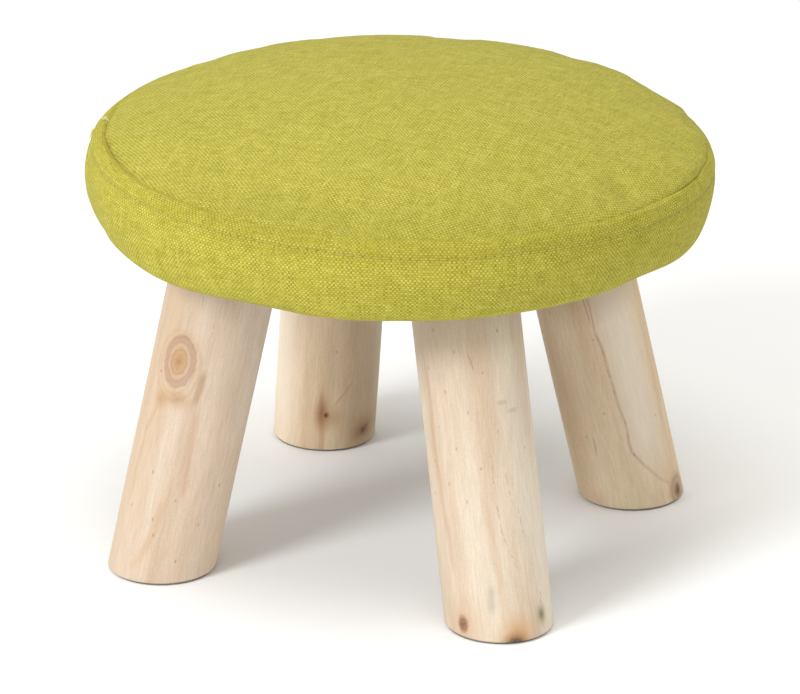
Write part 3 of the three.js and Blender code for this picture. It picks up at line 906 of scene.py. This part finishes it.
def relax(piece):
    """Lets the form settle as a tight cover over foam does: cloth under a little pressure from inside."""
    start = [vertex.co.copy() for vertex in piece.data.vertices]
    select_only(piece)
    held = piece.vertex_groups.new(name="held")
    for vertex in piece.data.vertices:
        x, y, z = vertex.co
        around = math.atan2(y, x)
        staple = math.cos(around * STAPLES_ROUND / 2 + 0.6) ** 2
        under = 1 - ease(z, hem_z + 1.5 * MM, hem_z + 7 * MM)
        held.add([vertex.index], clamp(under * (0.35 + 0.65 * staple), 0, 1), "REPLACE")
    cloth = piece.modifiers.new("Cloth", "CLOTH")
    cloth.settings.vertex_group_mass = "held"
    cloth.settings.mass = 0.35
    cloth.settings.tension_stiffness = 25
    cloth.settings.compression_stiffness = 25
    cloth.settings.bending_stiffness = 1.5
    cloth.settings.use_pressure = True
    cloth.settings.uniform_pressure_force = 4
    cloth.settings.effector_weights.gravity = 0
    scene = bpy.context.scene
    for step in range(SETTLE_STEPS):
        scene.frame_set(step + 1)
    select_only(piece)
    bpy.ops.object.modifier_apply(modifier=cloth.name)
    scene.frame_set(1)
    for vertex, before in zip(piece.data.vertices, start):
        moved = vertex.co - before
        if moved.length > SETTLE_LIMIT:
            vertex.co = before + moved.normalized() * SETTLE_LIMIT
    piece.vertex_groups.clear()


def make_cushion_form():
    """The closed form of the foam, uneven as cut foam is, then settled under its cover."""
    rings = []
    for i in range(1, FOAM_RINGS + 1):
        place, _ = outline_at(cloth_end * i / FOAM_RINGS)
        height = place.y - FOAM_LOWER if place.y > seam_z else place.y
        rings.append((place.x * FOAM_SHARE, height, 0, 0))
    form = extrude_rings("cushion_foam", rings, FOAM_SIDES)
    close_ring(form, 0, FOAM_SIDES)
    close_ring(form, FOAM_SIDES * (FOAM_RINGS - 1), FOAM_SIDES)
    face_outwards(form)
    for vertex in form.data.vertices:
        swell = noise.noise(vertex.co / (45 * MM)) * 1.3 * MM
        lift = ease(vertex.co.z, hem_z + 1 * MM, hem_z + 8 * MM)
        flat = Vector((vertex.co.x, vertex.co.y, 0)).normalized()
        vertex.co += flat * swell * lift
    apply_modifier(form, "REMESH", mode="VOXEL", voxel_size=FOAM_MESH)
    relax(form)
    return form


def nearest_distance(radius, height):
    """How far down the cloth the outline comes nearest to that point."""
    place = Vector((radius, height))
    gaps = [(spot - place).length_squared for spot in outline]
    return travelled[gaps.index(min(gaps))]


def fit_foam(form, relief):
    """Sets the settled form just inside its cover, clear of the turned-in seam, with a seat for the board."""
    for vertex in form.data.vertices:
        x, y, z = vertex.co
        radius = math.hypot(x, y)
        if radius < board_radius - 3 * MM and z < board_high.z:
            continue
        around = math.atan2(y, x)
        distance = nearest_distance(radius, z)
        past_seam = distance - seam_at(around)
        swell = crown_relief_at(relief, around, distance) + marks_at(around, past_seam)
        turned_in = ease(past_seam, -6 * MM, -1 * MM) * (1 - ease(past_seam, 9 * MM, 14 * MM))
        vertex.co = place_cover_point(around, distance, swell - UNDER_COVER - UNDER_TUCK * turned_in)
    apply_modifier(form, "SUBSURF", levels=1, render_levels=1)
    depth = board_high.z - hem_z + 10 * MM
    cut_round(form, 192, board_radius + 0.2 * MM, depth, (0, 0, board_high.z + 0.1 * MM - depth / 2))
    smooth_faces(form, 40)


def measure_relief(form):
    """How far the settled form stands off the plain outline, less the mean at each height."""
    tree = BVHTree.FromObject(form, bpy.context.evaluated_depsgraph_get())
    relief = []
    for row in range(RELIEF_ROWS + 1):
        distance = cloth_end * row / RELIEF_ROWS
        found = []
        for column in range(RELIEF_COLUMNS):
            around = 2 * math.pi * column / RELIEF_COLUMNS
            start = place_cover_point(around, distance, PROBE_START)
            inward = (place_cover_point(around, distance, 0) - start).normalized()
            hit = tree.ray_cast(start, inward, PROBE_LENGTH)
            found.append(PROBE_START - hit[3] if hit[0] else 0.0)
        mean = sum(found) / RELIEF_COLUMNS
        relief.append([clamp(value - mean, -RELIEF_LIMIT, RELIEF_LIMIT) for value in found])
    return relief


def relief_at(relief, around, distance):
    row = clamp(distance / cloth_end, 0, 1) * RELIEF_ROWS
    column = (around / (2 * math.pi)) % 1 * RELIEF_COLUMNS
    low_row, low_column = min(int(row), RELIEF_ROWS - 1), int(column) % RELIEF_COLUMNS
    next_column = (low_column + 1) % RELIEF_COLUMNS
    down, over = row - low_row, column - int(column)
    first, second = (line[low_column] * (1 - over) + line[next_column] * over
                     for line in relief[low_row:low_row + 2])
    return first * (1 - down) + second * down


def crown_relief_at(relief, around, distance):
    """The relief of the top, which is flat in the middle and grows outwards."""
    return relief_at(relief, around, distance) * ease(distance, FLAT_MIDDLE, UNEVEN_FROM)


# Hand marks in the cover: degrees round from +X, mm below the seam, half sizes in degrees and mm, and how
# proud in mm
COVER_MARKS = (
    (168.0, 2, 34, 14, -0.6),
    (186.0, 3, 12, 10, -0.5),
    (50.0, 2, 26, 14, -1.2),
    (2.0, 36, 13, 11, 1.7),
    (266.0, 47, 10, 8, -1.0),
    (219.7, 32, 5, 11, -1.3),
    (245.7, 40, 10, 9, 1.3),
    (283.4, 42, 9, 8, 1.0),
    (347.8, 38, 8, 10, -1.1),
    (172.0, 30, 8, 12, 0.8),
    (36.0, 34, 7, 11, -0.9),
    (98.0, 38, 9, 10, 0.9),
    (131.0, 30, 6, 12, -1.0),
)


def marks_at(around, below):
    total = 0.0
    for turn, down, wide, high, proud in COVER_MARKS:
        across = math.degrees(turn_between(around, math.radians(turn))) / wide
        along = (below - down * MM) / (high * MM)
        total += proud * MM * math.exp(-across * across - along * along)
    return total


def pull_at(around):
    """How hard the seam is pulled in, from 0 at the front to 1 at the sides and the back."""
    away = abs(math.degrees(turn_between(around, math.radians(SHALLOW_ROUND))))
    return ease(away, 25, 75)


def painted_front_shade_at(around, below):
    """How dark the painted shade on the weave is: along the front edge, from well above the seam to the
    stitches.
    """
    return (1 - pull_at(around)) * ease(below, -40 * MM, 4 * MM) * (1 - ease(below, 9 * MM, 18 * MM))


def crease_depth(around):
    return (0.12 + 1.08 * pull_at(around)) * MM


def stitch_drop(around):
    away = math.degrees(turn_between(around, math.radians(STITCH_DIP_ROUND)))
    return STITCH_DROP + STITCH_DIP * math.exp(-(away / 22) ** 2)


def band_proud(around, below):
    """The band rolls out of the crease, over the turned-in cloth, and is held by the topstitching."""
    drop = stitch_drop(around)
    roll = -crease_depth(around) * (1 - ease(below, 0, 1.5 * MM))
    pull = pull_at(around)
    strip = (0.3 + 0.4 * pull) * MM
    strip *= ease(below, 0.5 * MM, 2.6 * MM) * (1 - ease(below, drop - 2.2 * MM, drop))
    stitched = -(0.1 + 0.2 * pull) * MM * math.exp(-((below - drop) / (0.8 * MM)) ** 2)
    across = turn_between(around, math.radians(JOINT_ROUND)) * seat_radius
    joint = -0.5 * MM * math.exp(-(across / (0.9 * MM)) ** 2)
    return roll + strip + stitched + joint


def panel_proud(around, above):
    return -crease_depth(around) * (1 - ease(above, 0, 2.4 * MM))


def pleat_at(around, distance):
    """Round the board's edge the spare width of the band is gathered into small pleats."""
    edge = cloth_end - HEM_WIDTH
    amount = ease(distance, edge - 12 * MM, edge + 1 * MM)
    amount *= 1 - ease(distance, edge + 2 * MM, edge + 5 * MM)
    fold = math.sin(around * PLEATS_ROUND + 2.2 * math.sin(around * 5) + 1.3 * math.sin(around * 3 + 1))
    return amount * (fold * 0.4 + 0.3) * MM


def band_point(relief, around, below, proud=0.0):
    """A point on the band's outer face, so far below the seam."""
    distance = seam_at(around) + below
    swell = relief_at(relief, around, distance) * ease(below, 0, 20 * MM)
    swell *= 1 - ease(distance, cloth_end - HEM_WIDTH - 6 * MM, cloth_end - HEM_WIDTH + 2 * MM)
    proud += band_proud(around, below) + swell + marks_at(around, below) + pleat_at(around, distance)
    return place_cover_point(around, distance, proud)


def write_values(piece, name, values):
    """Keeps one number for each point of the piece, for its material to read."""
    layer = piece.data.attributes.new(name, "FLOAT", "POINT")
    for spot, value in zip(layer.data, values):
        spot.value = value


def uv_from(piece, place_of):
    """Writes the cloth map from each corner's own point, in metres of cloth."""
    layer = piece.data.uv_layers.new(name=CLOTH_MAP)
    for face in piece.data.polygons:
        for loop in face.loop_indices:
            vertex = piece.data.loops[loop].vertex_index
            layer.data[loop].uv = place_of(face, vertex)


def make_top_panel(relief):
    """The round top of the cover. Its edge dives into the seam and runs on down inside the band."""
    rings = [(seam_radius * (i + 1) / PANEL_RINGS, top_z, 0, 0) for i in range(PANEL_RINGS)]
    tucked = (0.25, 0.5, 0.75, 1)
    rings += [(seam_radius, top_z - SEAM_ALLOWANCE * share, 0, 0) for share in tucked]
    piece = extrude_rings("linen_top_panel", rings, SEAT_SIDES)
    spots = []
    for vertex in piece.data.vertices:
        ring = vertex.index // SEAT_SIDES
        around = math.atan2(vertex.co.y, vertex.co.x)
        seam = seam_at(around)
        if ring < PANEL_RINGS:
            crowded = 1 - (1 - (ring + 1) / PANEL_RINGS) ** 1.35
            distance = seam * crowded
            swell = crown_relief_at(relief, around, distance)
            proud = panel_proud(around, seam - distance) + swell + marks_at(around, distance - seam)
            vertex.co = place_cover_point(around, distance, proud)
        else:
            share = tucked[ring - PANEL_RINGS]
            distance = seam + SEAM_ALLOWANCE * share
            inside = crease_depth(around) + 1.0 * MM * ease(share, 0, 0.3)
            vertex.co = place_cover_point(around, distance, marks_at(around, distance - seam) - inside)
        spots.append((around, distance))
    close_ring(piece, 0, SEAT_SIDES)
    # Painted shade along the front edge, for the material to read.
    painted_front_shades = [painted_front_shade_at(around, distance - seam_at(around)) for around, distance in spots]
    write_values(piece, PAINTED_FRONT_SHADE_MAP, painted_front_shades)
    grain = math.radians(GRAIN_TURN)

    def flat_place(face, index):
        if index >= len(spots):
            return (0.0, 0.0)
        around, distance = spots[index]
        return (distance * math.cos(around - grain), distance * math.sin(around - grain))

    uv_from(piece, flat_place)
    apply_modifier(piece, "SOLIDIFY", thickness=PANEL_THICKNESS, offset=-1)
    smooth_faces(piece)
    return piece


def make_side_band(relief):
    """The side of the cover, from inside the seam down round the board's edge to the hem."""
    rings = [(seat_radius, seam_z - BAND_HEIGHT * i / BAND_RINGS, 0, 0) for i in range(BAND_RINGS + 1)]
    piece = extrude_rings("linen_side_band", rings, SEAT_SIDES)
    spots = []
    for vertex in piece.data.vertices:
        share = vertex.index // SEAT_SIDES / BAND_RINGS
        around = math.atan2(vertex.co.y, vertex.co.x)
        below = (cloth_end - seam_at(around)) * share ** 1.25
        vertex.co = band_point(relief, around, below)
        spots.append((around, below))
    write_values(piece, STITCH_MAP, [below - stitch_drop(around) for around, below in spots])
    # Painted shade along the front edge, for the material to read.
    write_values(piece, PAINTED_FRONT_SHADE_MAP, [painted_front_shade_at(around, below) for around, below in spots])
    opposite = math.radians(JOINT_ROUND) + math.pi

    def strip_place(face, index):
        around, below = spots[index]
        middle = math.atan2(face.center.y, face.center.x)
        turn = turn_between(middle, opposite) + turn_between(around, middle)
        return (turn * seat_radius, -below)

    uv_from(piece, strip_place)
    apply_modifier(piece, "SOLIDIFY", thickness=BAND_THICKNESS, offset=-1)
    smooth_faces(piece)
    return piece


def thread_through(name, points, diameter, closed):
    """A round thread through the points: a chain of edges, turned into a curve, filled out and meshed."""
    deselect_all()
    bpy.ops.mesh.primitive_circle_add(vertices=len(points), radius=1)
    piece = bpy.context.object
    for vertex, point in zip(piece.data.vertices, points):
        vertex.co = point
    if not closed:
        last = len(points) - 1
        for edge in piece.data.edges:
            edge.select = set(edge.vertices) == {0, last}
        for vertex in piece.data.vertices:
            vertex.select = False
        bpy.ops.object.mode_set(mode="EDIT")
        bpy.ops.mesh.select_mode(type="EDGE")
        bpy.ops.mesh.delete(type="EDGE_FACE")
        bpy.ops.object.mode_set(mode="OBJECT")
    bpy.ops.object.convert(target="CURVE")
    piece = bpy.context.object
    piece.data.bevel_depth = diameter / 2
    piece.data.bevel_resolution = 2
    piece.data.use_fill_caps = not closed
    bpy.ops.object.convert(target="MESH")
    piece = settle(bpy.context.object, name)
    smooth_faces(piece)
    return piece


def make_topstitching(relief):
    """One thread all round: it lies on the band for each stitch and dips through it at each needle hole."""
    # How proud of the band the thread's middle runs over one stitch, in mm
    profile = (-0.95, -0.35, -0.02, 0.04, 0.06, 0.06, 0.04, -0.02, -0.35)
    points = []
    start = math.radians(JOINT_ROUND)
    for stitch in range(STITCH_COUNT):
        for step, height in enumerate(profile):
            around = start + 2 * math.pi * (stitch + 0.5 + step / len(profile)) / STITCH_COUNT
            points.append(band_point(relief, around, stitch_drop(around), height * MM))
    return thread_through("topstitch_thread", points, THREAD_DIAMETER, True)


# Frayed spots: degrees round from +X, how far below the seam, how many ends, and how far the longest falls
FRAYED_SPOTS = (
    (197.0, 0.5 * MM, 16, 1.8 * MM),
    (199.2, 6.0 * MM, 22, 5.5 * MM),
)


def make_frayed_ends(relief):
    """Loose yarn ends where the band's two ends are sewn together, at the seam and above the topstitching."""
    pick = random.Random(4)
    hairs = []
    for turn, below, count, furthest in FRAYED_SPOTS:
        for _ in range(count):
            around = math.radians(turn) + pick.uniform(-0.9, 0.9) * MM / seat_radius
            down = below + pick.uniform(-0.5, 0.5) * MM
            lean, fall = pick.uniform(-1.8, 1.8) * MM, pick.uniform(0.1, 1) * furthest
            reach = pick.uniform(0.6, 1.5) * MM
            points = []
            for step in range(HAIR_STEPS + 1):
                share = step / HAIR_STEPS
                spot = around + lean * share ** 1.4 / seat_radius
                lift = -0.5 * MM + (reach + 0.5 * MM) * math.sin(share * 2.1) / math.sin(2.1 * 0.75)
                points.append(band_point(relief, spot, max(down + fall * share, 0.0), lift))
            hairs.append(thread_through("hair", points, HAIR_DIAMETER, False))
    deselect_all()
    for hair in hairs:
        hair.select_set(True)
    bpy.context.view_layer.objects.active = hairs[0]
    bpy.ops.object.join()
    return settle(hairs[0], "frayed_yarn_ends")


# Underside cloth

def staple_wave(around):
    """1 at the staples of the underside cloth, and -1 half way between them."""
    return math.cos(STAPLES_ROUND * (around - math.radians(FIRST_DUST_STAPLE)))


def sag_at(x, y):
    """How far the cloth hangs off the board: it is nipped at the staples and pressed flat by the logs."""
    radius, around = math.hypot(x, y), math.atan2(y, x)
    rim = ease(radius, dust_radius - RIM_STARTS, dust_radius - RIM_LEVEL)
    near_log = 1.0
    for bolt in bolt_spots:
        gap = math.hypot(x - bolt.x, y - bolt.y) - LOG_DIAMETER / 2
        near_log = min(near_log, ease(gap, 1.5 * MM, 16 * MM))
    at_staple = staple_wave(around)
    pucker = math.cos(around * PUCKERS_ROUND + 1.5 * math.sin(around * 8)) * PUCKER_DEPTH * MM
    pucker *= ease(radius, 72 * MM, dust_radius) * (0.35 + 0.65 * ease(at_staple, -0.2, 1))
    uneven = 0.6 + 0.4 * noise.noise(Vector((x, y, 0)) / (30 * MM))
    slack = 0.9 * MM * near_log * uneven * (1 - rim)
    between_staples = 0.35 * MM * ease(-at_staple, -0.8, 1) * rim
    return (slack + pucker * near_log + PUCKER_DEPTH * MM * near_log) * (1 - rim) + between_staples


def make_underside_cloth():
    """Black cloth stapled under the board, over the hem of the cover, with a hole for each bolt."""
    step = dust_high.z - dust_low.z - UNDERSIDE_THICKNESS
    rings = [(dust_radius * (1 - i / UNDERSIDE_RINGS), dust_low.z, 0, 0) for i in range(UNDERSIDE_RINGS)]
    piece = extrude_rings("underside_cloth", rings, UNDERSIDE_SIDES)
    for vertex in piece.data.vertices:
        x, y, _ = vertex.co
        radius, around = math.hypot(x, y), math.atan2(y, x)
        at_staple = staple_wave(around)
        scallop = 0.8 * MM / dust_radius * (1 - at_staple) / 2
        scallop = 1 - scallop * ease(radius, 0.9 * dust_radius, dust_radius)
        plane = step * (1 - ease(radius, dust_radius - RIM_STARTS, dust_radius - 10.2 * MM))
        vertex.co = (x * scallop, y * scallop, dust_low.z + plane - sag_at(x, y))
    close_ring(piece, UNDERSIDE_SIDES * (UNDERSIDE_RINGS - 1), UNDERSIDE_SIDES)
    face_outwards(piece)
    if piece.data.polygons[0].normal.z > 0:
        edit(piece)
        bpy.ops.mesh.flip_normals()
        bpy.ops.object.mode_set(mode="OBJECT")
    apply_modifier(piece, "SOLIDIFY", thickness=UNDERSIDE_THICKNESS, offset=-1)
    for bolt in bolt_spots:
        cut_round(piece, 32, BOLT_HOLE_RADIUS + 0.4 * MM, 12 * MM, (bolt.x, bolt.y, dust_low.z))
    smooth_faces(piece, 50)
    return piece


# Logs

def log_directions(place):
    """The middles of foot and top, then level outwards and the log's own outwards, sideways and upwards."""
    pad_low, pad_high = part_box("foot_pad_" + place)
    bolt_low, bolt_high = bolt_boxes[place]
    leg_low, leg_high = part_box("leg_" + place)
    foot = (pad_low + pad_high) / 2
    top = (bolt_low + bolt_high) / 2
    foot.z, top.z = leg_low.z, leg_high.z
    upwards = (top - foot).normalized()
    level = Vector((foot.x - top.x, foot.y - top.y, 0)).normalized()
    outwards = (level - upwards * level.dot(upwards)).normalized()
    return foot, top, level, outwards, upwards.cross(outwards), upwards


def make_log(place, log):
    """A round pole cut level at both ends, with a blind hole for its bolt."""
    foot, top, level, outwards, sideways, upwards = log_directions(place)
    length = top.z - foot.z
    turns = (0.0, 0.4, 0.8, 1.2, math.pi / 2)
    rounded = [(LOG_EASE * (1 - math.cos(turn)), LOG_EASE * (1 - math.sin(turn))) for turn in turns]
    cuts = list(rounded)
    cuts += [(length * i / LOG_RINGS, 0.0) for i in range(1, LOG_RINGS)]
    cuts += [(length - height, inset) for height, inset in reversed(rounded)]
    rings = []
    for height, inset in cuts:
        spot = foot.lerp(top, height / length)
        rings.append((LOG_DIAMETER / 2 - inset, spot.z, spot.x, spot.y))
    outer_rings = len(rings)
    rings.append((BOLT_HOLE_RADIUS, top.z, top.x, top.y))
    rings.append((BOLT_HOLE_RADIUS, bolt_boxes[place][0].z - BOLT_HOLE_CLEAR, top.x, top.y))
    piece = extrude_rings("pine_leg_" + place, rings, LOG_SIDES)
    stretch = 1 / upwards.z
    seed = Vector(log["seed"])
    for vertex in piece.data.vertices:
        ring = vertex.index // LOG_SIDES
        if ring >= outer_rings:
            continue
        middle = Vector((rings[ring][2], rings[ring][3], rings[ring][1]))
        offset = vertex.co - middle
        turn = math.atan2(offset.dot(sideways), offset.dot(level))
        height = middle.z - foot.z
        uneven = noise.noise(Vector((math.cos(turn), math.sin(turn), height / (55 * MM))) * 0.8 + seed)
        offset *= 1 + LOG_UNEVEN * uneven / (LOG_DIAMETER / 2)
        along = offset.dot(level)
        vertex.co = middle + offset + level * along * (stretch - 1)
    close_ring(piece, 0, LOG_SIDES)
    close_ring(piece, LOG_SIDES * (len(rings) - 1), LOG_SIDES)
    face_outwards(piece)
    places = piece.data.attributes.new(LOG_MAP, "FLOAT_VECTOR", "POINT")
    for vertex, spot in zip(piece.data.vertices, places.data):
        reach = vertex.co - foot
        spot.vector = (reach.dot(outwards), reach.dot(sideways), reach.dot(upwards))
    smooth_faces(piece, 40)
    return piece


def dress(material, *nodes):
    """A carried-over node keeps its shape and gets a better material."""
    for node in nodes:
        for slot in bpy.data.objects[node].material_slots:
            slot.material = material


# Camera and light

def direction(azimuth, elevation):
    """From the seat towards that azimuth, counted from the front, and elevation."""
    turn, rise = math.radians(azimuth), math.radians(elevation)
    return Vector((math.sin(turn) * math.cos(rise), -math.cos(turn) * math.cos(rise), math.sin(rise)))


def make_camera():
    azimuth, roll = math.radians(CAMERA_AZIMUTH), math.radians(CAMERA_ROLL)
    back = direction(CAMERA_AZIMUTH, CAMERA_ELEVATION)
    level = Vector((math.cos(azimuth), math.sin(azimuth), 0))
    upward = back.cross(level)
    right = level * math.cos(roll) + upward * math.sin(roll)
    up = back.cross(right)
    data = bpy.data.cameras.new("camera")
    data.lens = CAMERA_LENS
    data.shift_x = CAMERA_SHIFT_ACROSS
    data.shift_y = CAMERA_SHIFT_UP
    data.clip_end = 50
    camera = bpy.data.objects.new("camera", data)
    bpy.context.scene.collection.objects.link(camera)
    axes = Matrix((right, up, back)).transposed().to_4x4()
    camera.matrix_world = Matrix.Translation(CAMERA_AIM + back * CAMERA_DISTANCE) @ axes
    bpy.context.scene.camera = camera


def add_softbox(name, azimuth, elevation, distance, size, power, colour):
    back = direction(azimuth, elevation)
    data = bpy.data.lights.new(name, "AREA")
    data.shape = "DISK"
    data.size = size
    data.energy = power
    data.color = hex_colour(colour)[:3]
    light = bpy.data.objects.new(name, data)
    bpy.context.scene.collection.objects.link(light)
    light.location = CAMERA_AIM + back * distance
    light.rotation_euler = (-back).to_track_quat("-Z", "Y").to_euler()


def make_studio():
    add_softbox("key softbox", CAMERA_AZIMUTH - 48, 34, 2.2, 0.7, 27, "fcfdff")
    add_softbox("fill softbox", CAMERA_AZIMUTH + 52, 30, 2.6, 1.3, 2.5, "fbfcff")
    add_softbox("top softbox", CAMERA_AZIMUTH, 80, 2.2, 1.4, 15, "fffdf8")
    world = bpy.data.worlds.new("studio")
    world.use_nodes = True
    world.node_tree.nodes["Background"].inputs["Color"].default_value = hex_colour("fdfaf5")
    world.node_tree.nodes["Background"].inputs["Strength"].default_value = 0.84
    bpy.context.scene.world = world
    deselect_all()
    bpy.ops.mesh.primitive_plane_add(size=8)
    floor = settle(bpy.context.object, "floor")
    material, _ = begin_material("Pale studio floor", Roughness=0.9, Base_Color=hex_colour("f3f4f6"))
    floor.data.materials.append(material)


make_camera()
make_studio()
bpy.context.scene.view_settings.view_transform = "Standard"

form = make_cushion_form()
relief = measure_relief(form)
top_panel = make_top_panel(relief)
side_band = make_side_band(relief)
fit_foam(form, relief)
underside = make_underside_cloth()

finish_piece(form, foam_material(), "foam", "foam_pad")
finish_piece(top_panel, linen_material("Lime linen weave", False, TOP_PAINTED_LIGHT_TINT), "cover_linen", "cover_top_panel")
band_material = linen_material("Lime linen weave with needle holes", True, BAND_PAINTED_SHADE_TINT)
finish_piece(side_band, band_material, "cover_linen", "cover_side_band")
finish_piece(make_topstitching(relief), thread_material(), "cover_linen")
finish_piece(make_frayed_ends(relief), frayed_yarn_material(), "cover_linen")
finish_piece(underside, non_woven_material(), "non_woven", "dust_cover")
for seed, place in enumerate(PLACES):
    log = add_unseen_marks(LOGS[place], seed)
    finish_piece(make_log(place, log), pine_material(place, log), "pine", "leg_" + place)
dress(plywood_material(), "seat_board")
dress(zinc_material(), *(kind + place for kind in ("hanger_bolt_", "t_nut_") for place in PLACES))
dress(rubber_material(), *("foot_pad_" + place for place in PLACES))
staple_numbers = range(1, STAPLES_ROUND + 1)
dress(staple_material(), *(f"{row}_staple_{i:02d}" for row in ("hem", "dust") for i in staple_numbers))
